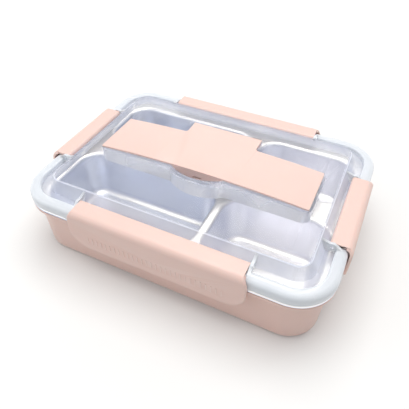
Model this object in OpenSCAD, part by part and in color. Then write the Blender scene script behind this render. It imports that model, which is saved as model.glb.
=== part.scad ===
// Bento lunch box: a moulded case, a stamped steel tray, a clear lid with a cutlery well, and four clips.
// Millimetres, +Z up, +X along the long side, -Y towards the front, origin under the middle of the case.

/* [Lid outline] */
// Length of the lid over its rim
rim_length = 280; // [266:1:300]
// Width of the lid over its rim
rim_width = 204; // [196:1:224]
// Corner radius of the rim, seen from above
rim_corner = 34; // [32:0.5:40]

/* [Outer case] */
// Height of the case up to the top of its flange
case_height = 53.2; // [50:0.1:68]
// Thickness of the case's wall
case_wall = 2; // [1.6:0.1:3]
// Thickness of the case's floor
case_floor = 2.2; // [1.6:0.1:3.5]
// Distance from the rim's outline in to the top of the case's wall
case_inset = 5; // [4.5:0.1:6.5]
// Lean of the case's wall from upright, in degrees
case_draft = 1.5; // [0.5:0.5:4]
// Radius of the round edge under the case
case_round = 6; // [5:0.5:12]
// Distance from the rim's outline in to the flange's edge
flange_inset = 0.3; // [0.2:0.1:1.4]
// Height of the flange's upright edge
flange_edge = 2.3; // [1.6:0.1:2.8]

/* [Steel tray] */
// Thickness of the steel sheet
tray_sheet = 0.8; // [0.5:0.1:1.2]
// Radius of the rolled edge
curl_radius = 1.25; // [1:0.05:1.4]
// Gap between the case's flange and the rolled edge
tray_gap = 0.4; // [0.2:0.05:0.5]
// Distance from the rim's ends in to the compartments
pocket_end_margin = 16; // [14:0.5:19]
// Distance from the rim's front in to the compartments
pocket_front_margin = 15; // [13:0.5:18]
// Distance from the rim's back in to the compartments
pocket_back_margin = 21; // [13:0.5:22]
// Depth of the compartments
pocket_depth = 46; // [30:1:48]
// Corner radius of the compartments at their mouth
pocket_corner = 20; // [16:0.5:22]
// Lean of the compartments' walls, in degrees
pocket_draft = 6; // [3:0.5:8]
// Radius of the round edge at the compartments' floor
pocket_round = 7; // [4:0.5:9]
// Radius of the rounded mouth of the compartments
pocket_mouth = 4; // [1.6:0.1:4.2]
// Middle of the divider between left and right compartments
divider_x = 25; // [-30:0.5:40]
// Width of that divider
divider_width = 9; // [8:0.5:14]
// Middle of the land between front and back compartments
land_y = 2; // [-12:0.5:12]
// Width of that land
land_width = 28; // [10:1:40]

/* [Lid] */
// Thickness of the lid's deck and plateau
lid_wall = 1.8; // [1.2:0.1:2.4]
// Gap between the rolled edge and the rim's lower edge
lid_gap = 1.4; // [0.8:0.1:1.8]
// Height of the rim
rim_height = 9; // [8:0.1:10]
// Width of the rim's bead
rim_band = 10; // [9:0.1:10.4]
// Radius of the rim's outer top edge
rim_round = 5; // [2:0.25:5.5]
// Radius of the rim's inner top edge
rim_inner_round = 2; // [0.5:0.25:3]
// Depth of the channel inside the rim
channel_drop = 4; // [2.8:0.1:4.4]
// Distance from the rim's outline in to the plateau's foot
plateau_foot = 16.6; // [16.4:0.1:18]
// Height of the plateau above the channel
plateau_rise = 11.5; // [10.8:0.1:15]
// Lean of the plateau's wall, in degrees
plateau_draft = 26; // [14:1:28]
// Radius of the plateau's top edge
plateau_edge = 2.4; // [1:0.1:3]
// Rise of the plateau's middle above its front and back edges, before the well is cut
crown_rise = 5.2; // [4:0.1:6.4]

/* [Seal] */
// Thickness of the rim's wall outside the seal
skirt = 2.2; // [1.4:0.1:2.6]
// Width of the seal's groove
groove_width = 5; // [3.5:0.1:5.4]
// Depth of the seal's groove
groove_depth = 5.2; // [4:0.1:5.4]
// Play of the seal in its groove, on each side
seal_play = 0.1; // [0.05:0.01:0.2]
// Gap between the seal and the tray
seal_gap = 0.25; // [0.1:0.05:0.4]

/* [Cutlery cover] */
// Length of the cover
cover_length = 202; // [150:1:204]
// Width of the cover without its tab
cover_width = 50.8; // [42:0.2:53]
// Distance of the cover's middle behind the box's middle
cover_y = 3.9; // [-6:0.1:6]
// Thickness of the cover and of its skirt
cover_sheet = 2; // [1.6:0.1:2.4]
// Height of the cover's top above the plateau round it
cover_proud = 1; // [0.8:0.1:1.6]
// Rise of the cover's middle above its ends
cover_crown = 4.4; // [3:0.2:6]
// Depth of the rebate that the cover lies in, at the cover's ends
rebate = 1; // [0.6:0.1:1.1]
// Gap between the cover and the rebate's floor
cover_seat = 0.25; // [0.1:0.05:0.4]
// Corner radius of the cover
cover_corner = 1.5; // [0.8:0.1:3]
// Gap round the cover
cover_gap = 0.4; // [0.3:0.05:0.7]
// Width of the hinge tab
tab_width = 71; // [50:0.5:90]
// Reach of the hinge tab behind the cover
tab_reach = 19; // [15:0.5:24]
// Radius where the tab meets the cover
tab_fillet = 3; // [1.5:0.25:4]
// Radius of the hinge barrel on the tab
cover_barrel = 2.2; // [2:0.05:2.4]
// Gap behind the hinge barrel
tab_gap = 1.1; // [0.9:0.05:1.4]
// Width of the lip on the cover's front edge
lip_width = 48; // [30:1:49]
// Height of the lip below the cover
lip_height = 3.5; // [2.8:0.1:6]
// Thickness of the lip
lip_sheet = 1.6; // [1:0.1:2]
// Length of the grip slot in the lip
slot_length = 8.5; // [5:0.5:14]
// Height of the grip slot
slot_height = 1.5; // [0.8:0.1:1.7]
// Distance from the cover's underside down to the grip slot
slot_drop = 0.6; // [0.3:0.1:0.9]

/* [Cutlery well] */
// Depth of the well under the plateau's top
well_depth = 12.7; // [10:0.1:13]
// Thickness of the well's floor
well_floor = 1.3; // [1:0.1:1.7]
// Thickness of the well's wall
well_wall = 3.2; // [2.4:0.1:4]
// Corner radius inside the well
well_corner = 4; // [2:0.25:8]
// Width of the ledge that carries the cover
ledge = 1.2; // [0.8:0.1:1.8]
// Width of the finger scoop
scoop_width = 52; // [51:0.5:66]
// Reach of the scoop in front of the cover
scoop_reach = 9; // [6:0.25:10]

/* [Clips] */
// Length of the front and back clips
long_clip = 153; // [120:0.5:165]
// Length of the left and right clips
short_clip = 85; // [70:0.5:96]
// Thickness of the clips
clip_sheet = 2.4; // [1.8:0.1:2.6]
// Distance of the clips' outer face outside the rim's outline
clip_reach = 3.2; // [3.2:0.1:6]
// Gap between the rim's top and the clips
clip_gap = 1.1; // [0.8:0.1:1.8]
// Height of the clips
clip_height = 38; // [34:0.5:44]
// Radius of the clips' shoulder
clip_shoulder = 6; // [3.5:0.25:8]
// Widening of the flap at each end
flap_flare = 4.2; // [1:0.1:5]
// Radius of the flap's corners
flap_corner = 18; // [14:0.5:19]
// Height by which the flap's outline runs on above the band
flap_crest = 6; // [2:0.25:8]
// Radius of the clips' hinge barrel
clip_barrel = 2.6; // [2.4:0.05:2.7]
// Distance from the rim's outline in to the hinge
hinge_inset = 13.1; // [12.9:0.05:13.4]
// Reach of the hook under the flange
hook_bite = 2.2; // [1.4:0.1:2.6]
// Gap between the hook and the flange
hook_gap = 0.4; // [0.35:0.05:0.7]
// Height of the hook's tip
hook_tip = 1.2; // [0.8:0.1:2]
// Distance from the clip's ends to the hook's ends
hook_margin = 6; // [2:0.5:12]
// Distance between the grip ribs on the flap
rib_pitch = 4.4; // [3:0.1:8]
// Height of the grip ribs
rib_height = 7; // [3:0.5:8]
// Width of the grip ribs
rib_width = 0.9; // [0.6:0.1:1.6]
// Height of the grip ribs above the flap's face
rib_proud = 0.3; // [0.2:0.05:0.6]
// Distance from the flap's lower edge up to the ribs
rib_rise = 9; // [6:0.5:10]

/* [Hinges] */
// Radius of the steel pins of the clips
pin_radius = 1.25; // [1:0.05:1.4]
// Length of a pin that stands out of its lug at each end
pin_proud = 0.3; // [0.1:0.1:0.8]
// Thickness of the lugs beside the clips
lug_sheet = 2.4; // [1.8:0.1:3]
// Gap between a lug and the clip's end
lug_gap = 0.35; // [0.25:0.05:0.6]
// Radius of the lug round the pin
lug_boss = 3.5; // [2.8:0.1:3.7]
// Distance from the plateau's top down to the lug's crest
lug_crest = 1.3; // [1:0.1:2.5]
// Distance from the rim's outline in to the lug's foot on the rim
lug_foot = 5.5; // [5:0.25:7]
// Thickness of the ears beside the cover's tab
ear_sheet = 3.6; // [2.4:0.1:5]
// Radius of the ears round the stub pins
ear_boss = 2.4; // [1.8:0.1:2.6]
// Radius of the stub pins of the cover
stub_radius = 1.1; // [0.9:0.05:1.15]
// Length of the stub pins inside the cover
stub_length = 3.2; // [2:0.1:5]
// Radial play of the bores on their pins
pin_play = 0.05; // [0.02:0.01:0.09]
// Free depth of the cover's bores behind the stub pins
bore_end = 0.6; // [0.3:0.1:1.2]

/* [Hidden] */
$fn = 96;
pink = [0.93, 0.77, 0.72];
steel = [0.78, 0.79, 0.81];
clear = [0.86, 0.9, 0.95, 0.45];
milky = [0.92, 0.93, 0.94];
// Amount by which a cut runs past the face that it opens
cut = 1;

// Heights, from the foot up
tray_top = case_height + tray_gap + 2 * curl_radius;
rim_bottom = tray_top + lid_gap;
rim_top = rim_bottom + rim_height;
channel_top = rim_top - channel_drop;
channel_bottom = channel_top - lid_wall;
plateau_top = channel_top + plateau_rise;
plateau_height = plateau_top - channel_bottom;
well_bottom = plateau_top - well_depth;
rebate_floor = plateau_top - rebate;
cover_bottom = rebate_floor + cover_seat;
cover_middle = plateau_top + cover_proud + cover_crown;
clip_top = rim_top + clip_gap + clip_sheet;
clip_bottom = clip_top - clip_height;
clip_axis_z = clip_top - clip_barrel;

// Places in plan
cover_front = cover_y - cover_width / 2;
cover_back = cover_y + cover_width / 2;
tab_back = cover_back + tab_reach;
cover_axis_y = tab_back - cover_barrel;
arch_radius = (pow(cover_length / 2, 2) + pow(cover_crown, 2)) / (2 * cover_crown);
arch_axis_z = cover_middle - arch_radius;
crown_half = rim_width / 2 - plateau_foot - plateau_height * tan(plateau_draft) - plateau_edge;
vault_radius = (pow(crown_half, 2) + pow(crown_rise, 2)) / (2 * crown_rise);
vault_axis_z = plateau_top + crown_rise - vault_radius;
crown_top = plateau_top + cover_crown;
cover_axis_z = arch_axis_z + sqrt(pow(arch_radius, 2) - pow(tab_width / 2, 2)) - cover_barrel;
well_outer = well_wall - ledge;
scoop_arc = (pow(scoop_width / 2, 2) + pow(scoop_reach, 2)) / (2 * scoop_reach);

// Place on a section that runs round the rim, from its distance outside the rim's outline
function out(distance) = rim_corner + distance;

// Rounded rectangle about the middle
module rounded(length, width, corner) {
    square([length, width - 2 * corner], center = true);
    square([length - 2 * corner, width], center = true);
    for (x = [-1, 1], y = [-1, 1])
        translate([x * (length / 2 - corner), y * (width / 2 - corner)])
            circle(corner);
}

// Quarter of a disc, in the corner where x and y are positive
module quarter(radius) {
    intersection() {
        circle(radius);
        square(radius);
    }
}

// Carries a section round a rounded rectangle; the section's x is counted out from the corner's axis
module around(length, width, corner) {
    x_run = length / 2 - corner;
    y_run = width / 2 - corner;
    corners = [[1, 1], [-1, 1], [-1, -1], [1, -1]];
    for (turn = [0 : 3])
        translate([corners[turn].x * x_run, corners[turn].y * y_run, 0])
            rotate(90 * turn)
                rotate_extrude(angle = 90)
                    children();
    for (half_turn = [0, 180])
        rotate(half_turn) {
            translate([0, y_run, 0])
                rotate([90, 0, 90])
                    linear_extrude(2 * x_run, center = true)
                        children();
            translate([x_run, 0, 0])
                rotate([90, 0, 0])
                    linear_extrude(2 * y_run, center = true)
                        children();
        }
}

// Half section of a tub, from its corner's axis out: a flat floor, a round floor edge, a leaning wall,
// a rounded mouth where one is asked for, and an upright stretch above the mouth
module tub_half(corner, height, draft, fillet, mouth, above) {
    foot = corner - height * tan(draft);
    floor_reach = foot + fillet * tan(draft) - fillet / cos(draft);
    mouth_x = corner - mouth * tan(draft) + mouth / cos(draft);
    mouth_points = [[mouth_x - mouth * cos(draft), height - mouth + mouth * sin(draft)], [mouth_x, height]];
    difference() {
        union() {
            polygon(concat(
                [[0, 0], [floor_reach, 0]],
                [[floor_reach + fillet * cos(draft), fillet * (1 - sin(draft))]],
                mouth > 0 ? mouth_points : [[corner, height]],
                above > 0 ? [[mouth_x, height + above], [0, height + above]] : [[0, height]]));
            translate([floor_reach, fillet])
                rotate(-90)
                    quarter(fillet);
        }
        if (mouth > 0)
            translate([mouth_x, height - mouth])
                circle(mouth);
    }
}

// Whole section of a tub across one span
module tub_section(span, corner, height, draft, fillet, mouth, above) {
    run = span / 2 - corner;
    for (side = [0, 1])
        mirror([side, 0])
            translate([run, 0])
                tub_half(corner, height, draft, fillet, mouth, above);
    translate([-run, 0])
        square([2 * run, height + above]);
}

// Solid tub on its floor; length, width and corner are those of its open end
module tub(length, width, corner, height, draft, fillet, mouth = 0, above = 0) {
    for (x = [-1, 1], y = [-1, 1])
        translate([x * (length / 2 - corner), y * (width / 2 - corner), 0])
            rotate_extrude()
                tub_half(corner, height, draft, fillet, mouth, above);
    rotate([90, 0, 90])
        linear_extrude(length - 2 * corner, center = true)
            tub_section(width, corner, height, draft, fillet, mouth, above);
    rotate([90, 0, 0])
        linear_extrude(width - 2 * corner, center = true)
            tub_section(length, corner, height, draft, fillet, mouth, above);
}

// Tub whose open end lies a margin inside the rim's outline
module rim_tub(margin, height, draft, fillet, above = 0) {
    tub(rim_length - 2 * margin, rim_width - 2 * margin, rim_corner - margin,
        height, draft, fillet, above = above);
}

// Places something drawn at the back side, with y counted out from the rim's outline
module on_side(turn) {
    across = abs(turn) == 90 ? rim_length : rim_width;
    rotate(turn)
        translate([0, across / 2, 0])
            children();
}

// Extrudes a section in y and z along X, about the middle
module along_x(length) {
    rotate([90, 0, 90])
        linear_extrude(length, center = true)
            children();
}

// Round bar along X, about the middle
module bar_x(radius, length) {
    rotate([0, 90, 0])
        cylinder(r = radius, h = length, center = true);
}

module outer_case() {
    wall_middle = case_inset + case_wall / 2;
    color(pink)
        difference() {
            union() {
                rim_tub(case_inset, case_height, case_draft, case_round);
                around(rim_length, rim_width, rim_corner)
                    polygon([[out(-wall_middle), case_height],
                             [out(-flange_inset), case_height],
                             [out(-flange_inset), case_height - flange_edge],
                             [out(-wall_middle), case_height - flange_edge - wall_middle + flange_inset]]);
            }
            translate([0, 0, case_floor])
                rim_tub(case_inset + case_wall / cos(case_draft), case_height - case_floor,
                        case_draft, case_round - case_wall, above = cut);
        }
}

// One compartment of the tray, grown by the sheet for its outside
module pocket(span_x, span_y, grow, mouth, above) {
    side = grow / cos(pocket_draft) - grow * tan(pocket_draft);
    translate([(span_x[0] + span_x[1]) / 2, (span_y[0] + span_y[1]) / 2, tray_top - pocket_depth - grow])
        tub(span_x[1] - span_x[0] + 2 * side, span_y[1] - span_y[0] + 2 * side, pocket_corner + side,
            pocket_depth, pocket_draft, pocket_round + grow, mouth, above);
}

// All compartments of the tray
module pockets(grow, mouth, above) {
    x_end = rim_length / 2 - pocket_end_margin;
    y_front = pocket_front_margin - rim_width / 2;
    y_back = rim_width / 2 - pocket_back_margin;
    x_spans = [[-x_end, divider_x - divider_width / 2], [divider_x + divider_width / 2, x_end]];
    y_spans = [[y_front, land_y - land_width / 2], [land_y + land_width / 2, y_back]];
    for (span_x = x_spans, span_y = y_spans)
        pocket(span_x, span_y, grow, mouth, above);
}

module steel_tray() {
    curl_middle = flange_inset + curl_radius;
    color(steel)
        difference() {
            union() {
                translate([0, 0, tray_top - tray_sheet])
                    linear_extrude(tray_sheet)
                        rounded(rim_length - 2 * curl_middle, rim_width - 2 * curl_middle,
                                rim_corner - curl_middle);
                around(rim_length, rim_width, rim_corner)
                    translate([out(-curl_middle), tray_top - curl_radius])
                        circle(curl_radius);
                pockets(tray_sheet, pocket_mouth - tray_sheet, tray_sheet / 2);
            }
            pockets(0, pocket_mouth, cut);
        }
}

// Section of the lid's rim: a bead with round top edges and the seal's groove in its lower side
module rim_section() {
    difference() {
        translate([out(-rim_band), rim_bottom]) {
            square([rim_band, rim_height - rim_round]);
            square([rim_inner_round, rim_height - rim_inner_round]);
            translate([rim_inner_round, 0])
                square([rim_band - rim_inner_round - rim_round, rim_height]);
            translate([rim_inner_round, rim_height - rim_inner_round])
                rotate(90)
                    quarter(rim_inner_round);
            translate([rim_band - rim_round, rim_height - rim_round])
                quarter(rim_round);
        }
        translate([out(-skirt - groove_width), rim_bottom - cut])
            square([groove_width, groove_depth + cut]);
    }
}

// Long round body whose top is the arch of the cover, lowered for what lies under that arch
module cover_arch(lower) {
    translate([0, cover_y, arch_axis_z])
        rotate([90, 0, 0])
            cylinder(r = arch_radius - lower, h = 2 * rim_width, center = true, $fn = 1440);
}

// Raised middle of the plateau: arched like the cover and also across the box, lowered for its underside
module crown(lower) {
    foot = plateau_top - 0.6 * lid_wall - lower;
    intersection() {
        cover_arch(cover_proud + lower);
        translate([0, 0, vault_axis_z])
            rotate([0, 90, 0])
                cylinder(r = vault_radius - lower, h = 2 * rim_length, center = true, $fn = 1440);
        translate([0, 0, foot])
            linear_extrude(crown_top - foot + cut)
                square([cover_length + 3 * lid_wall, 2 * crown_half + lid_wall / 2], center = true);
    }
}

// Deck inside the rim, with the hollow plateau
module lid_deck() {
    deck_inset = (rim_band + skirt + groove_width) / 2;
    wall_across = lid_wall / cos(plateau_draft);
    difference() {
        union() {
            translate([0, 0, plateau_top])
                mirror([0, 0, 1])
                    rim_tub(plateau_foot, plateau_height, plateau_draft, plateau_edge);
            translate([0, 0, channel_bottom])
                linear_extrude(lid_wall)
                    rounded(rim_length - 2 * deck_inset, rim_width - 2 * deck_inset, rim_corner - deck_inset);
            crown(0);
        }
        translate([0, 0, plateau_top - lid_wall])
            mirror([0, 0, 1])
                rim_tub(plateau_foot + wall_across, plateau_height - lid_wall,
                        plateau_draft, max(plateau_edge - lid_wall, 0.4), above = cut);
        crown(lid_wall);
    }
}

// Outline of the finger scoop in front of the cover, grown for the wall round it
module scoop_outline(grow) {
    front = cover_front - scoop_reach;
    intersection() {
        translate([0, front + scoop_arc])
            circle(scoop_arc + grow);
        translate([-scoop_width, front - grow - cut])
            square([2 * scoop_width, scoop_reach + grow + ledge + 2 * cut]);
    }
}

// Outline of the cover and its tab, grown for the gap round it
module cover_outline(grow, reach) {
    fillet = tab_fillet - grow;
    translate([0, cover_y])
        rounded(cover_length + 2 * grow, cover_width + 2 * grow, cover_corner + grow);
    translate([-tab_width / 2 - grow, cover_y])
        square([tab_width + 2 * grow, cover_width / 2 + reach]);
    for (side = [0, 1])
        mirror([side, 0])
            translate([tab_width / 2 + grow, cover_back + grow])
                difference() {
                    square(fillet);
                    translate([fillet, fillet])
                        circle(fillet);
                }
}

// Outline of the well's outside
module well_outline() {
    translate([0, cover_y])
        rounded(cover_length + 2 * well_outer, cover_width + 2 * well_outer, well_corner + well_wall);
    scoop_outline(well_outer);
}

// Outside of the well and of the bed behind it for the cover's tab, up into the plateau's sheet
module well_block() {
    foot = well_bottom - well_floor;
    bed_foot = rebate_floor - well_floor;
    bed_side = cover_gap + ear_sheet;
    bed_reach = cover_width / 2 + tab_reach + tab_gap + well_outer;
    translate([0, 0, foot])
        linear_extrude(plateau_top - lid_wall / 2 - foot)
            well_outline();
    intersection() {
        translate([0, 0, bed_foot])
            linear_extrude(crown_top - bed_foot) {
                well_outline();
                translate([-tab_width / 2 - bed_side, cover_y])
                    square([tab_width + 2 * bed_side, bed_reach]);
            }
        crown(lid_wall / 2);
    }
}

// Everything that the well, the scoop and the cover's rebate take out of the lid
module well_cut() {
    translate([0, 0, well_bottom])
        linear_extrude(crown_top - well_bottom + cut) {
            translate([0, cover_y])
                rounded(cover_length - 2 * ledge, cover_width - 2 * ledge, well_corner);
            scoop_outline(0);
        }
    translate([0, 0, rebate_floor])
        linear_extrude(crown_top - rebate_floor + cut)
            cover_outline(cover_gap, tab_reach + tab_gap);
}

// Section of a lug beside a clip: a boss round the pin and a fin from the rim up to the plateau
module lug_section() {
    deck_middle = channel_bottom + lid_wall / 2;
    fin_top = plateau_top - lug_crest;
    wall_middle = plateau_foot + lid_wall / 2;
    fin_end = wall_middle + (fin_top - channel_bottom) * tan(plateau_draft);
    difference() {
        union() {
            translate([-hinge_inset, clip_axis_z])
                circle(lug_boss);
            polygon([[-rim_band + rim_inner_round, deck_middle],
                     [-rim_band + rim_inner_round, rim_top - rim_inner_round],
                     [-lug_foot, rim_top - rim_inner_round / 2],
                     [-lug_foot, rim_top],
                     [-hinge_inset + lug_boss * cos(60), clip_axis_z + lug_boss * sin(60)],
                     [-hinge_inset, clip_axis_z + lug_boss - cut],
                     [-fin_end, fin_top],
                     [-wall_middle, deck_middle]]);
        }
        translate([-hinge_inset, clip_axis_z])
            circle(pin_radius);
    }
}

// The two lugs of one clip
module lugs(clip_length) {
    for (side = [-1, 1])
        translate([side * (clip_length / 2 + lug_gap + lug_sheet / 2), 0, 0])
            along_x(lug_sheet)
                lug_section();
}

// The two ears beside the cover's tab, each with its stub pin
module cover_ears() {
    foot = plateau_top - lid_wall / 2;
    front = cover_back + cover_gap + tab_fillet + cut;
    inner = tab_width / 2 + cover_gap;
    stub_outer = inner + ear_sheet / 2;
    stub_inner = tab_width / 2 - stub_length;
    for (side = [-1, 1]) {
        translate([side * (inner + ear_sheet / 2), 0, 0])
            along_x(ear_sheet) {
                polygon([[front, foot],
                         [front, plateau_top + cut],
                         [cover_axis_y - ear_boss * cos(60), cover_axis_z + ear_boss * sin(60)],
                         [cover_axis_y, cover_axis_z],
                         [cover_axis_y + ear_boss, cover_axis_z],
                         [cover_axis_y + ear_boss, foot]]);
                translate([cover_axis_y, cover_axis_z])
                    circle(ear_boss);
            }
        translate([side * (stub_outer + stub_inner) / 2, cover_axis_y, cover_axis_z])
            bar_x(stub_radius, stub_outer - stub_inner);
    }
}

module lid() {
    color(clear) {
        difference() {
            union() {
                around(rim_length, rim_width, rim_corner)
                    rim_section();
                lid_deck();
                well_block();
                for (turn = [0, 180])
                    on_side(turn)
                        lugs(long_clip);
                for (turn = [-90, 90])
                    on_side(turn)
                        lugs(short_clip);
            }
            well_cut();
        }
        cover_ears();
    }
}

module lid_seal() {
    seal_bottom = tray_top + seal_gap;
    seal_top = rim_bottom + groove_depth - seal_play;
    half_width = groove_width / 2 - seal_play;
    color(milky)
        around(rim_length, rim_width, rim_corner)
            translate([out(-skirt - groove_width / 2), 0]) {
                translate([0, seal_bottom + half_width])
                    circle(half_width);
                translate([-half_width, seal_bottom + half_width])
                    square([2 * half_width, seal_top - seal_bottom - half_width]);
            }
}

// Inside of the cover's skirt
module cover_inside() {
    tab_inside = tab_width - 2 * cover_sheet;
    translate([0, cover_y])
        square([cover_length - 2 * cover_sheet, cover_width - 2 * cover_sheet], center = true);
    translate([-tab_inside / 2, cover_y])
        square([tab_inside, cover_axis_y - cover_barrel - cover_y]);
}

module cutlery_cover() {
    bore_length = stub_length + bore_end;
    cover_height = cover_middle - cover_bottom + cut;
    color(pink)
        difference() {
            union() {
                intersection() {
                    translate([0, 0, cover_bottom])
                        linear_extrude(cover_height)
                            cover_outline(0, tab_reach - cover_barrel);
                    cover_arch(0);
                }
                translate([0, cover_axis_y, cover_axis_z])
                    bar_x(cover_barrel, tab_width);
                translate([-lip_width / 2, cover_front, cover_bottom - lip_height])
                    cube([lip_width, lip_sheet, lip_height + cover_proud]);
            }
            intersection() {
                translate([0, 0, cover_bottom - cut])
                    linear_extrude(cover_height)
                        cover_inside();
                cover_arch(cover_sheet);
            }
            translate([-slot_length / 2, cover_front - cut, cover_bottom - slot_drop - slot_height])
                cube([slot_length, lip_sheet + 2 * cut, slot_height]);
            for (side = [-1, 1])
                translate([side * (tab_width + cut - bore_length) / 2, cover_axis_y, cover_axis_z])
                    bar_x(stub_radius + pin_play, bore_length + cut);
        }
}

// Section of a clip: a hinge barrel, a flat band, a round shoulder and the upright sheet of the flap
module clip_section() {
    shoulder = [clip_reach - clip_shoulder, clip_top - clip_shoulder];
    translate([-hinge_inset, clip_axis_z])
        circle(clip_barrel);
    translate([-hinge_inset, clip_top - clip_sheet])
        square([hinge_inset + shoulder.x, clip_sheet]);
    translate([clip_reach - clip_sheet, clip_bottom])
        square([clip_sheet, shoulder.y - clip_bottom]);
    translate(shoulder)
        difference() {
            quarter(clip_shoulder);
            circle(clip_shoulder - clip_sheet);
        }
}

// Room that a clip's sheet fills: a block down to the flap's corners, and the flap's outline in front
module clip_room(clip_length) {
    crest = clip_top + flap_crest;
    block_depth = hinge_inset + clip_barrel + clip_reach + 2 * cut;
    block_bottom = clip_bottom + flap_corner;
    translate([-clip_length / 2, clip_reach + cut - block_depth, block_bottom])
        cube([clip_length, block_depth, clip_top + cut - block_bottom]);
    translate([0, clip_reach + cut, 0])
        rotate([90, 0, 0])
            linear_extrude(clip_shoulder + cut)
                translate([0, (crest + clip_bottom) / 2])
                    rounded(clip_length + 2 * flap_flare, crest - clip_bottom, flap_corner);
}

// Section of the hook: its upper face lies along the sloping underside of the case's flange
module hook_section() {
    wall_middle = clip_reach - clip_sheet / 2;
    tip = -flange_inset - hook_bite;
    tip_top = case_height - flange_edge - hook_bite - hook_gap * sqrt(2);
    polygon([[tip, tip_top],
             [wall_middle, tip_top + wall_middle - tip],
             [wall_middle, tip_top - hook_tip - (wall_middle - tip) / 2],
             [tip, tip_top - hook_tip]]);
}

// One clip at the back side, with the bore for its pin
module clip(clip_length) {
    flap_length = clip_length + 2 * flap_flare;
    rib_count = floor((flap_length / 2 - flap_corner) / rib_pitch);
    rib_root = clip_reach - clip_sheet / 2;
    color(pink)
        difference() {
            union() {
                intersection() {
                    along_x(flap_length)
                        clip_section();
                    clip_room(clip_length);
                }
                along_x(clip_length - 2 * hook_margin)
                    hook_section();
                for (step = [-rib_count : rib_count])
                    translate([step * rib_pitch - rib_width / 2, rib_root, clip_bottom + rib_rise])
                        cube([rib_width, clip_sheet / 2 + rib_proud, rib_height]);
            }
            translate([0, -hinge_inset, clip_axis_z])
                bar_x(pin_radius + pin_play, clip_length + 2 * cut);
        }
}

// One pin at the back side, through its clip and both lugs
module clip_pin(clip_length) {
    color(steel)
        translate([0, -hinge_inset, clip_axis_z])
            bar_x(pin_radius, clip_length + 2 * (lug_gap + lug_sheet + pin_proud));
}

module front_clip() {
    on_side(180)
        clip(long_clip);
}

module back_clip() {
    on_side(0)
        clip(long_clip);
}

module left_clip() {
    on_side(90)
        clip(short_clip);
}

module right_clip() {
    on_side(-90)
        clip(short_clip);
}

module front_clip_pin() {
    on_side(180)
        clip_pin(long_clip);
}

module back_clip_pin() {
    on_side(0)
        clip_pin(long_clip);
}

module left_clip_pin() {
    on_side(90)
        clip_pin(short_clip);
}

module right_clip_pin() {
    on_side(-90)
        clip_pin(short_clip);
}

outer_case();
steel_tray();
lid();
lid_seal();
cutlery_cover();
front_clip();
back_clip();
left_clip();
right_clip();
front_clip_pin();
back_clip_pin();
left_clip_pin();
right_clip_pin();
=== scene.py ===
"""Bento lunch box: the finish of each piece, the pale studio and the photo's camera."""

import math

import bmesh
import bpy
from mathutils import Matrix, Vector


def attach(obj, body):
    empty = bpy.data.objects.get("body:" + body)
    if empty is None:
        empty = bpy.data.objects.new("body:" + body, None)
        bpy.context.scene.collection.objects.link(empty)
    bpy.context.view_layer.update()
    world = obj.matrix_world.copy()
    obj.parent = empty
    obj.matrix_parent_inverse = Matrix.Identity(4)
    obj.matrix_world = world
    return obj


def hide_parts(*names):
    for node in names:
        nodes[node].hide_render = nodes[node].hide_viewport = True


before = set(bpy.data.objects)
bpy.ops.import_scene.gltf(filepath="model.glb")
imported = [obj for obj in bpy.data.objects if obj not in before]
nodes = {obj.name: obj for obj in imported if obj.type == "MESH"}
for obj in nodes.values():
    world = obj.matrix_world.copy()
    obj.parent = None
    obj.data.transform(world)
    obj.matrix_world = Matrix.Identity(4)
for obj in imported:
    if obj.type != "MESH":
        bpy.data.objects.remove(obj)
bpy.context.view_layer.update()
scene = bpy.context.scene
scene.view_settings.view_transform = "Standard"

# Lengths are in metres, angles in degrees and texture scales in waves per metre
MM = 0.001

# Pink moulded plastic
PINK = (0.84, 0.60, 0.53, 1)
# Pale tone of the painted highlight on sharp edges
EDGE_HIGHLIGHT = (1.0, 0.94, 0.91, 1)
SKIN_CLOUD = {"scale": 26.0, "detail": 3.0}
SKIN_CLOUD_RANGE = (0.3, 0.7)
SKIN_WIPE = {"scale": 70.0, "detail": 4.0, "rough": 0.6}
SKIN_WIPE_RANGE = (0.35, 0.7)
SKIN_ROUGHNESS = (0.34, 0.46)
SKIN_GRAIN = {"scale": 1400.0, "detail": 2.0, "rough": 0.6}
SKIN_GRAIN_STRENGTH = 0.12
SKIN_GRAIN_DEPTH = 0.05 * MM
SKIN_EDGE_HIGHLIGHT_RANGE = (0.51, 0.58)
SKIN_DEPTH = {"Weight": 0.12, "Radius": (1.0, 0.45, 0.3), "Scale": 2 * MM}

# Steel of the tray and of the clips' pins
# The tray's tones are painted light: a painted reflection of the warm lamp on its flats, painted shade on
# its walls, lighter towards the right
TRAY_LIT_FLAT = (0.98, 0.95, 0.89, 1)
TRAY_SHADED_LEFT_WALL = (0.55, 0.61, 0.77, 1)
TRAY_LIT_RIGHT_WALL = (0.86, 0.87, 0.96, 1)
TRAY_LINES = (30.0, 1500.0, 1500.0)
PIN_TONE = (0.80, 0.81, 0.83, 1)
PIN_LINES = (500.0, 500.0, 500.0)
STEEL_LINE = {"scale": 1.0, "detail": 3.0, "rough": 0.65}
STEEL_LINE_RANGE = (0.25, 0.75)
STEEL_LINE_SHADE = (0.97, 1.0)
STEEL_LINE_STRENGTH = 0.05
STEEL_LINE_DEPTH = 0.01 * MM
STEEL_CLOUD = {"scale": 34.0, "detail": 3.0}
STEEL_DULL_RANGE = (0.36, 0.64)
STEEL_LIT_FLAT_RANGE = (0.25, 0.9)
STEEL_WALL_SHADE_CHANGE = (0.0, 60 * MM)

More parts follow.
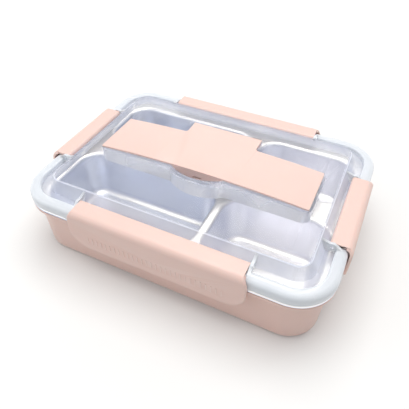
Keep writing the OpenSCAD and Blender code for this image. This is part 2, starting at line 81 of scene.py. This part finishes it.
# Clear and cloudy plastic of the lid, and its silicone seal
CLEAR_TONES = ((0.84, 0.87, 1.0, 1), (0.90, 0.92, 1.0, 1))
MILKY_TONES = ((0.86, 0.90, 0.95, 1), (0.90, 0.93, 0.97, 1))
WELL_TONES = ((0.86, 0.89, 1.0, 1), (0.92, 0.94, 1.0, 1))
SEAL_TONES = ((0.86, 0.87, 0.88, 1), (0.93, 0.94, 0.94, 1))
POURED_WAVE = {"scale": 300.0, "detail": 2.0}
POURED_FILM = {"scale": 55.0, "detail": 4.0, "rough": 0.6}
POURED_FILM_RANGE = (0.4, 0.75)
POURED_CLOUD_RANGE = (0.3, 0.7)
LID_IOR = 1.49
LID_TURN_RANGE = (0.15, 0.95)
LID_HIGHLIGHT_BEND_RANGE = (0.05, 0.25)
SEAL_WAVE_STRENGTH = 0.1
SEAL_WAVE_DEPTH = 0.2 * MM
SEAL_DEPTH = {"Weight": 0.3, "Radius": (1.0, 0.9, 0.85), "Scale": 3 * MM}

# Rounding of the pieces' edges
WELD = 0.003 * MM
FLAT = 0.15
CURVED = 0.01
SHARP = 28.0
SMOOTH = 32.0
ROUND_STEPS = 3
CASE_ROUND = 0.5 * MM
COVER_ROUND = 0.4 * MM
CLIP_ROUND = 1.2 * MM
CLIP_INNER_SHARE = 0.25
CLIP_OUTER_TURN = (0.5, 0.95)
CLIP_END_TURN = 0.3
RIB_PROUD = 0.3 * MM
OUTWARD = {"front": Vector((0, -1, 0)), "back": Vector((0, 1, 0)),
           "left": Vector((-1, 0, 0)), "right": Vector((1, 0, 0))}

# Zones of the lid
RIM_HALF = Vector((140 * MM, 102 * MM))
RIM_CORNER = 34 * MM
RIM_BAND = 10.4 * MM
CHANNEL_TOP = 62.5 * MM
ABOVE_CHANNEL = CHANNEL_TOP + 0.2 * MM
WELL_HALF = 104.5 * MM
WELL_FRONT = -34 * MM
WELL_BACK = 33 * MM
WELL_FLOOR = 66 * MM
LUG_END = 22.5 * MM
LUG_REACH = 1.6 * MM
LONG_LUG = 78.05 * MM
SHORT_LUG = 44.05 * MM
WALL_TURN = 0.5
LEVEL_TURN = 0.9
CLEAR, MILKY, WELL, CHANNEL = range(4)

# Studio and camera
WHITE = (1, 1, 1, 1)
FLOOR_TONE = (0.84, 0.84, 0.83, 1)
FLOOR_ROUGHNESS = 0.9
FLOOR_HALF = 6.0
FLOOR_CELLS = 8
FLOOR_DROP = 0.2 * MM
GLOW_REACH = (0.16, 1.2)
GLOW = (0.06, 1.0)
SKY_TONE = (0.93, 0.96, 1.0, 1)
SKY_STRENGTH = 0.38
LAMP_AIM = Vector((0, 0, 0.05))
TOP_LAMP = {"place": Vector((0.02, 0.12, 1.1)), "size": 1.0, "watts": 11.0, "colour": (1.0, 0.985, 0.965)}
LEFT_LAMP = {"place": Vector((-0.9, -0.6, 0.7)), "size": 0.9, "watts": 2.6, "colour": (1, 1, 1)}
AZIMUTH, ELEVATION, ROLL = 25.39, 44.38, 0.17
CAMERA_PLACE = (0.1274, -0.2740, 0.3155)
SENSOR_WIDTH = 36.0
LENS = 37.06
VIEW_RANGE = (0.01, 50.0)


# Shader nodes

def put(tree, kind, settings=None, **values):
    """Adds a shader node; settings are its own fields, values its unlinked inputs."""
    item = tree.nodes.new("ShaderNode" + kind)
    for field, value in (settings or {}).items():
        setattr(item, field, value)
    for name, value in values.items():
        item.inputs[name].default_value = value
    return item


def join(tree, value, socket):
    """Links a node's output to a socket, or sets a plain value on the socket."""
    if isinstance(value, bpy.types.NodeSocket):
        tree.links.new(value, socket)
    else:
        socket.default_value = value


def start_group(name, inputs, outputs):
    """A shader node group with named sockets; inputs and outputs hold (name, kind)."""
    tree = bpy.data.node_groups.new(name, "ShaderNodeTree")
    for side, sockets in (("INPUT", inputs), ("OUTPUT", outputs)):
        for label, kind in sockets:
            tree.interface.new_socket(label, in_out=side, socket_type="NodeSocket" + kind)
    return tree, tree.nodes.new("NodeGroupInput"), tree.nodes.new("NodeGroupOutput")


def use_group(tree, group, **values):
    item = tree.nodes.new("ShaderNodeGroup")
    item.node_tree = group
    for name, value in values.items():
        item.inputs[name].default_value = value
    return item


def noise(tree, where, scale, detail, rough=0.5):
    item = put(tree, "TexNoise", Scale=scale, Detail=detail, Roughness=rough)
    join(tree, where, item.inputs["Vector"])
    return item.outputs["Fac"]


def spread(tree, value, reach, result):
    """Maps a value from one range to another, held at the ends."""
    item = put(tree, "MapRange", {"clamp": True})
    join(tree, value, item.inputs["Value"])
    for label, ends in (("From", reach), ("To", result)):
        join(tree, ends[0], item.inputs[label + " Min"])
        join(tree, ends[1], item.inputs[label + " Max"])
    return item.outputs["Result"]


def worked(tree, kind, a, b=0.0):
    """A Math node on two values."""
    item = put(tree, "Math", {"operation": kind})
    join(tree, a, item.inputs[0])
    join(tree, b, item.inputs[1])
    return item.outputs[0]


def tint(tree, factor, a, b, kind="MIX"):
    """Mixes two colours."""
    item = put(tree, "Mix", {"data_type": "RGBA", "blend_type": kind})
    for slot, value in ((0, factor), (6, a), (7, b)):
        join(tree, value, item.inputs[slot])
    return item.outputs[2]


def shaded(tree, colour, shade):
    """A colour times a share of its brightness."""
    grey = put(tree, "CombineColor")
    for channel in range(3):
        join(tree, shade, grey.inputs[channel])
    return tint(tree, 1.0, colour, grey.outputs[0], "MULTIPLY")


def axes_of(tree, vector):
    """The X, Y and Z outputs of a vector."""
    item = put(tree, "SeparateXYZ")
    join(tree, vector, item.inputs[0])
    return item.outputs


def mixed(tree, factor, a, b):
    """Mixes two shaders."""
    item = put(tree, "MixShader")
    for slot, value in enumerate((factor, a, b)):
        join(tree, value, item.inputs[slot])
    return item.outputs[0]


def looked_at(tree):
    """1 for what the camera, a gloss or clear plastic shows, 0 for the light that falls on the box."""
    path = put(tree, "LightPath").outputs
    passed_on = worked(tree, "MAXIMUM", path["Is Glossy Ray"], path["Is Transmission Ray"])
    return worked(tree, "MAXIMUM", path["Is Camera Ray"], passed_on)


# Effects that several finishes share

def moulded_skin():
    """Injection-moulded plastic: cloudy colour, fine spark texture and a painted highlight on sharp
    edges.
    """
    tree, given, result = start_group(
        "moulded skin",
        [("Colour", "Color"), ("Cloud", "Float"), ("Edge", "Float")],
        [("Colour", "Color"), ("Roughness", "Float"), ("Height", "Float")])
    where = put(tree, "TexCoord").outputs["Object"]
    darkest = worked(tree, "SUBTRACT", 1.0, given.outputs["Cloud"])
    shade = spread(tree, noise(tree, where, **SKIN_CLOUD), SKIN_CLOUD_RANGE, (darkest, 1.0))
    clouded = shaded(tree, given.outputs["Colour"], shade)
    # Painted highlight: sharp edges, found by pointiness, are tinted paler
    bend = put(tree, "NewGeometry").outputs["Pointiness"]
    edge = spread(tree, bend, SKIN_EDGE_HIGHLIGHT_RANGE, (0.0, given.outputs["Edge"]))
    join(tree, tint(tree, edge, clouded, EDGE_HIGHLIGHT), result.inputs["Colour"])
    wipe = noise(tree, where, **SKIN_WIPE)
    join(tree, spread(tree, wipe, SKIN_WIPE_RANGE, SKIN_ROUGHNESS), result.inputs["Roughness"])
    join(tree, noise(tree, where, **SKIN_GRAIN), result.inputs["Height"])
    return tree


def drawn_steel():
    """Stainless steel: fine lines along the rolling direction, with a painted reflection of the warm
    lamp on flat stretches and painted shade on the walls, lighter from left to right."""
    tree, given, result = start_group(
        "drawn steel",
        [("Flat", "Color"), ("Left", "Color"), ("Right", "Color"), ("Lines", "Vector"),
         ("Smooth", "Float"), ("Dull", "Float")],
        [("Colour", "Color"), ("Roughness", "Float"), ("Height", "Float")])
    where = put(tree, "TexCoord").outputs["Object"]
    # Painted light: faces turned up take the lit flat tone, walls a painted shade that lightens towards
    # +x
    upright = axes_of(tree, put(tree, "NewGeometry").outputs["Normal"])["Z"]
    flat = spread(tree, worked(tree, "ABSOLUTE", upright), STEEL_LIT_FLAT_RANGE, (0.0, 1.0))
    lighter_rightward = spread(tree, axes_of(tree, where)["X"], STEEL_WALL_SHADE_CHANGE, (0.0, 1.0))
    wall_shade = tint(tree, lighter_rightward, given.outputs["Left"], given.outputs["Right"])
    painted_tone = tint(tree, flat, wall_shade, given.outputs["Flat"])
    stretch = put(tree, "VectorMath", {"operation": "MULTIPLY"})
    join(tree, where, stretch.inputs[0])
    join(tree, given.outputs["Lines"], stretch.inputs[1])
    line = noise(tree, stretch.outputs[0], **STEEL_LINE)
    shade = spread(tree, line, STEEL_LINE_RANGE, STEEL_LINE_SHADE)
    join(tree, shaded(tree, painted_tone, shade), result.inputs["Colour"])
    cloud = noise(tree, where, **STEEL_CLOUD)
    middle = worked(tree, "MULTIPLY", worked(tree, "ADD", line, cloud), 0.5)
    dull = spread(tree, middle, STEEL_DULL_RANGE, (given.outputs["Smooth"], given.outputs["Dull"]))
    join(tree, dull, result.inputs["Roughness"])
    join(tree, line, result.inputs["Height"])
    return tree


def poured_skin():
    """Clear plastic or silicone: a faint wiped film, slow clouds and a slight wave."""
    tree, given, result = start_group(
        "poured skin",
        [("Smooth", "Float"), ("Dull", "Float")],
        [("Cloud", "Float"), ("Roughness", "Float"), ("Height", "Float")])
    where = put(tree, "TexCoord").outputs["Object"]
    film = noise(tree, where, **POURED_FILM)
    join(tree, spread(tree, film, POURED_CLOUD_RANGE, (0.0, 1.0)), result.inputs["Cloud"])
    dull = spread(tree, film, POURED_FILM_RANGE, (given.outputs["Smooth"], given.outputs["Dull"]))
    join(tree, dull, result.inputs["Roughness"])
    join(tree, noise(tree, where, **POURED_WAVE), result.inputs["Height"])
    return tree


SKIN = moulded_skin()
STEEL = drawn_steel()
POURED = poured_skin()


# Finishes

def start_finish(name):
    material = bpy.data.materials.new(name)
    material.use_nodes = True
    tree = material.node_tree
    tree.nodes.clear()
    shader = put(tree, "BsdfPrincipled")
    join(tree, shader.outputs[0], put(tree, "OutputMaterial").inputs["Surface"])
    return material, tree, shader


def bump(tree, shader, height, strength, depth):
    item = put(tree, "Bump", Strength=strength, Distance=depth)
    join(tree, height, item.inputs["Height"])
    join(tree, item.outputs["Normal"], shader.inputs["Normal"])


def soften(shader, depth):
    """Lets light sink a little into a finish."""
    for name, value in depth.items():
        shader.inputs["Subsurface " + name].default_value = value


def pink_plastic(name, cloud, edge):
    material, tree, shader = start_finish(name)
    skin = use_group(tree, SKIN, Colour=PINK, Cloud=cloud, Edge=edge)
    join(tree, skin.outputs["Colour"], shader.inputs["Base Color"])
    join(tree, skin.outputs["Roughness"], shader.inputs["Roughness"])
    bump(tree, shader, skin.outputs["Height"], SKIN_GRAIN_STRENGTH, SKIN_GRAIN_DEPTH)
    soften(shader, SKIN_DEPTH)
    return material


def steel(name, **values):
    material, tree, shader = start_finish(name)
    sheet = use_group(tree, STEEL, **values)
    join(tree, sheet.outputs["Colour"], shader.inputs["Base Color"])
    join(tree, sheet.outputs["Roughness"], shader.inputs["Roughness"])
    shader.inputs["Metallic"].default_value = 1.0
    bump(tree, shader, sheet.outputs["Height"], STEEL_LINE_STRENGTH, STEEL_LINE_DEPTH)
    return material


def lid_plastic(name, tones, smooth, dull, face_on, edge_on, bend):
    """Lid moulding: face_on and edge_on are its cover where it faces the eye and where it turns
    away, bend is a painted highlight: extra cover added on rounded edges so they show as pale lines."""
    material, tree, shader = start_finish(name)
    skin = use_group(tree, POURED, Smooth=smooth, Dull=dull)
    join(tree, tint(tree, skin.outputs["Cloud"], *tones), shader.inputs["Base Color"])
    join(tree, skin.outputs["Roughness"], shader.inputs["Roughness"])
    shader.inputs["IOR"].default_value = LID_IOR
    turned = put(tree, "LayerWeight", Blend=0.5).outputs["Facing"]
    cover = spread(tree, turned, LID_TURN_RANGE, (face_on, edge_on))
    # Painted highlight: faces that slant, as on rounded edges, get extra cover and show pale
    upright = axes_of(tree, put(tree, "NewGeometry").outputs["True Normal"])["Z"]
    square = worked(tree, "MULTIPLY", upright, upright)
    slant = worked(tree, "MULTIPLY", square, worked(tree, "SUBTRACT", 1.0, square))
    painted_edge_highlight = spread(tree, slant, LID_HIGHLIGHT_BEND_RANGE, (0.0, bend))
    join(tree, worked(tree, "ADD", cover, painted_edge_highlight), shader.inputs["Alpha"])
    return material


def silicone(name, tones, smooth, dull):
    material, tree, shader = start_finish(name)
    skin = use_group(tree, POURED, Smooth=smooth, Dull=dull)
    join(tree, tint(tree, skin.outputs["Cloud"], *tones), shader.inputs["Base Color"])
    join(tree, skin.outputs["Roughness"], shader.inputs["Roughness"])
    bump(tree, shader, skin.outputs["Height"], SEAL_WAVE_STRENGTH, SEAL_WAVE_DEPTH)
    soften(shader, SEAL_DEPTH)
    return material


# edge sets the strength of the painted highlight on sharp edges
case_plastic = pink_plastic("case_plastic", cloud=0.03, edge=0.12)
clip_plastic = pink_plastic("clip_plastic", cloud=0.02, edge=0.2)
cover_plastic = pink_plastic("cover_plastic", cloud=0.02, edge=0.1)
# The tray's flat, left and right tones are painted light and shade; the pin's three tones are alike
tray_steel = steel("tray_steel", Flat=TRAY_LIT_FLAT, Left=TRAY_SHADED_LEFT_WALL, Right=TRAY_LIT_RIGHT_WALL,
                   Lines=TRAY_LINES, Smooth=0.32, Dull=0.44)
pin_steel = steel("pin_steel", Flat=PIN_TONE, Left=PIN_TONE, Right=PIN_TONE,
                  Lines=PIN_LINES, Smooth=0.14, Dull=0.24)
lid_clear = lid_plastic("lid_clear", CLEAR_TONES, smooth=0.06, dull=0.12,
                        face_on=0.05, edge_on=0.42, bend=0.65)
lid_milky = lid_plastic("lid_milky", MILKY_TONES, smooth=0.2, dull=0.3,
                        face_on=0.7, edge_on=0.95, bend=0.1)
lid_channel = lid_plastic("lid_channel", CLEAR_TONES, smooth=0.1, dull=0.2,
                          face_on=0.3, edge_on=0.7, bend=0.2)
lid_well = lid_plastic("lid_well", WELL_TONES, smooth=0.16, dull=0.26,
                       face_on=0.8, edge_on=0.95, bend=0.0)
seal_silicone = silicone("seal_silicone", SEAL_TONES, smooth=0.42, dull=0.55)


# Pieces

def welded(node, flat):
    """The node's faces in one joined mesh, with faces merged that lie within an angle of flat."""
    form = bmesh.new()
    form.from_mesh(nodes[node].data)
    bmesh.ops.remove_doubles(form, verts=form.verts, dist=WELD)
    bmesh.ops.dissolve_limit(form, angle_limit=math.radians(flat), verts=form.verts, edges=form.edges)
    return form


def weigh_edges(form, weigh):
    """Gives each sharp edge the share of the rounding that weigh says."""
    share = form.edges.layers.float.new("bevel_weight_edge")
    for edge in form.edges:
        if len(edge.link_faces) == 2 and edge.calc_face_angle(0.0) > math.radians(SHARP):
            edge[share] = weigh(edge)


def round_edges(piece, width, clamp):
    rounding = piece.modifiers.new("rounding", "BEVEL")
    rounding.limit_method = "WEIGHT"
    rounding.width = width
    rounding.segments = ROUND_STEPS
    rounding.use_clamp_overlap = clamp
    rounding.loop_slide = False


def piece_of(node, body, finish, width=0.0, weigh=None, flat=FLAT, clamp=True):
    """A smooth copy of the node; where weigh is given, its sharp edges are rounded."""
    form = welded(node, flat)
    if weigh:
        weigh_edges(form, weigh)
    mesh = bpy.data.meshes.new(node + "_form")
    form.to_mesh(mesh)
    form.free()
    mesh.shade_smooth()
    mesh.set_sharp_from_angle(angle=math.radians(SMOOTH))
    piece = bpy.data.objects.new(node + "_piece", mesh)
    scene.collection.objects.link(piece)
    if weigh:
        round_edges(piece, width, clamp)
    piece.modifiers.new("flow", "WEIGHTED_NORMAL").keep_sharp = True
    piece.data.materials.append(finish)
    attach(piece, body)
    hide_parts(node)
    return piece


def dress(node, finish):
    """Gives a CAD node its finish and leaves its mesh as it is."""
    data = nodes[node].data
    data.materials.clear()
    data.materials.append(finish)


def all_round(edge):
    return 1.0


def clip_weigher(node, outward):
    """Shares for a clip's edges: full round the outer face, a little inside, none on the ribs."""
    along = outward.cross(Vector((0, 0, 1)))
    skin = max(v.co.dot(outward) for v in nodes[node].data.vertices) - RIB_PROUD
    rib_start = skin + 0.1 * RIB_PROUD
    least, most = CLIP_OUTER_TURN

    def facing(face):
        is_end = abs(face.normal.dot(along)) >= CLIP_END_TURN
        return 0.0 if is_end else face.normal.dot(outward)

    def weigh(edge):
        if not edge.is_convex or max(v.co.dot(outward) for v in edge.verts) > rib_start:
            return 0.0
        turn = max(facing(face) for face in edge.link_faces)
        outer = min(max((turn - least) / (most - least), 0.0), 1.0)
        return CLIP_INNER_SHARE + (1.0 - CLIP_INNER_SHARE) * outer

    return weigh


def inside_rim(x, y):
    """Distance from the rim's outline in to a place."""
    over_x = abs(x) - (RIM_HALF.x - RIM_CORNER)
    over_y = abs(y) - (RIM_HALF.y - RIM_CORNER)
    if min(over_x, over_y) > 0.0:
        return RIM_CORNER - math.hypot(over_x, over_y)
    return min(RIM_HALF.x - abs(x), RIM_HALF.y - abs(y))


def on_lug(x, y):
    """Whether a place is on one of the lugs that hold the clips' pins."""
    on_long_side = abs(y) > RIM_HALF.y - LUG_END and abs(abs(x) - LONG_LUG) < LUG_REACH
    on_short_side = abs(x) > RIM_HALF.x - LUG_END and abs(abs(y) - SHORT_LUG) < LUG_REACH
    return on_long_side or on_short_side


def lid_zone(place, normal):
    """Finish of a lid face: milky rim and lugs, cloudy well, channel, or clear for the rest."""
    x, y, z = place
    if inside_rim(x, y) < RIM_BAND or (z > ABOVE_CHANNEL and on_lug(x, y)):
        return MILKY
    over_well = abs(x) < WELL_HALF and WELL_FRONT < y < WELL_BACK
    if over_well and (abs(normal.z) < WALL_TURN or z < WELL_FLOOR):
        return WELL
    return CHANNEL if normal.z > LEVEL_TURN and z < ABOVE_CHANNEL else CLEAR


def finish_lid(piece):
    """Adds the finishes beside the clear one and gives each face its own."""
    for finish in (lid_milky, lid_well, lid_channel):
        piece.data.materials.append(finish)
    for face in piece.data.polygons:
        face.material_index = lid_zone(face.center, face.normal)


piece_of("outer_case", "case", case_plastic, CASE_ROUND, all_round)
piece_of("steel_tray", "tray", tray_steel)
finish_lid(piece_of("lid", "lid", lid_clear, flat=CURVED))
piece_of("cutlery_cover", "cover", cover_plastic, COVER_ROUND, all_round, flat=CURVED)
for side, outward in OUTWARD.items():
    clip = side + "_clip"
    weigher = clip_weigher(clip, outward)
    piece_of(clip, clip, clip_plastic, CLIP_ROUND, weigher, clamp=False)
    dress(clip + "_pin", pin_steel)
dress("lid_seal", seal_silicone)


# Studio

def floor_finish():
    """Pale floor that keeps the shadow and grows white with the distance from the box."""
    material, tree, shader = start_finish("pale_floor")
    shader.inputs["Base Color"].default_value = FLOOR_TONE
    shader.inputs["Roughness"].default_value = FLOOR_ROUGHNESS
    shader.inputs["Specular IOR Level"].default_value = 0.0
    away = put(tree, "VectorMath", {"operation": "LENGTH"})
    join(tree, put(tree, "TexCoord").outputs["Object"], away.inputs[0])
    glow = put(tree, "Emission", Color=WHITE)
    join(tree, spread(tree, away.outputs["Value"], GLOW_REACH, GLOW), glow.inputs["Strength"])
    glowing = put(tree, "AddShader")
    join(tree, shader.outputs[0], glowing.inputs[0])
    join(tree, glow.outputs[0], glowing.inputs[1])
    shown = mixed(tree, looked_at(tree), shader.outputs[0], glowing.outputs[0])
    join(tree, shown, tree.get_output_node("ALL").inputs["Surface"])
    return material


def floor():
    form = bmesh.new()
    bmesh.ops.create_grid(form, x_segments=FLOOR_CELLS, y_segments=FLOOR_CELLS, size=FLOOR_HALF)
    mesh = bpy.data.meshes.new("floor_sheet")
    form.to_mesh(mesh)
    form.free()
    mesh.materials.append(floor_finish())
    sheet = bpy.data.objects.new("floor", mesh)
    sheet.location = (0, 0, -FLOOR_DROP)
    scene.collection.objects.link(sheet)


def sky():
    """Soft light from all round, and white where it is looked at."""
    world = bpy.data.worlds.new("studio")
    scene.world = world
    world.use_nodes = True
    tree = world.node_tree
    tree.nodes.clear()
    light = put(tree, "Background", Color=SKY_TONE, Strength=SKY_STRENGTH)
    white = put(tree, "Background", Color=WHITE, Strength=1.0)
    shown = mixed(tree, looked_at(tree), light.outputs[0], white.outputs[0])
    join(tree, shown, put(tree, "OutputWorld").inputs["Surface"])


def softbox(name, place, size, watts, colour):
    lamp = bpy.data.lights.new(name, "AREA")
    lamp.shape = "SQUARE"
    lamp.size = size
    lamp.energy = watts
    lamp.color = colour
    item = bpy.data.objects.new(name, lamp)
    item.location = place
    item.rotation_euler = (LAMP_AIM - place).to_track_quat("-Z", "Y").to_euler()
    scene.collection.objects.link(item)


def camera():
    azimuth, elevation, roll = (math.radians(turn) for turn in (AZIMUTH, ELEVATION, ROLL))
    right = Vector((math.cos(azimuth), math.sin(azimuth), 0))
    back = Vector((math.sin(azimuth) * math.cos(elevation),
                   -math.cos(azimuth) * math.cos(elevation),
                   math.sin(elevation)))
    up = back.cross(right)
    across = right * math.cos(roll) + up * math.sin(roll)
    upward = up * math.cos(roll) - right * math.sin(roll)
    lens = bpy.data.cameras.new("photo_lens")
    lens.sensor_width = SENSOR_WIDTH
    lens.lens = LENS
    lens.clip_start, lens.clip_end = VIEW_RANGE
    item = bpy.data.objects.new("photo_camera", lens)
    pose = Matrix((across, upward, back)).transposed().to_4x4()
    pose.translation = CAMERA_PLACE
    item.matrix_world = pose
    scene.collection.objects.link(item)
    scene.camera = item


floor()
sky()
softbox("top_softbox", **TOP_LAMP)
softbox("left_softbox", **LEFT_LAMP)
camera()
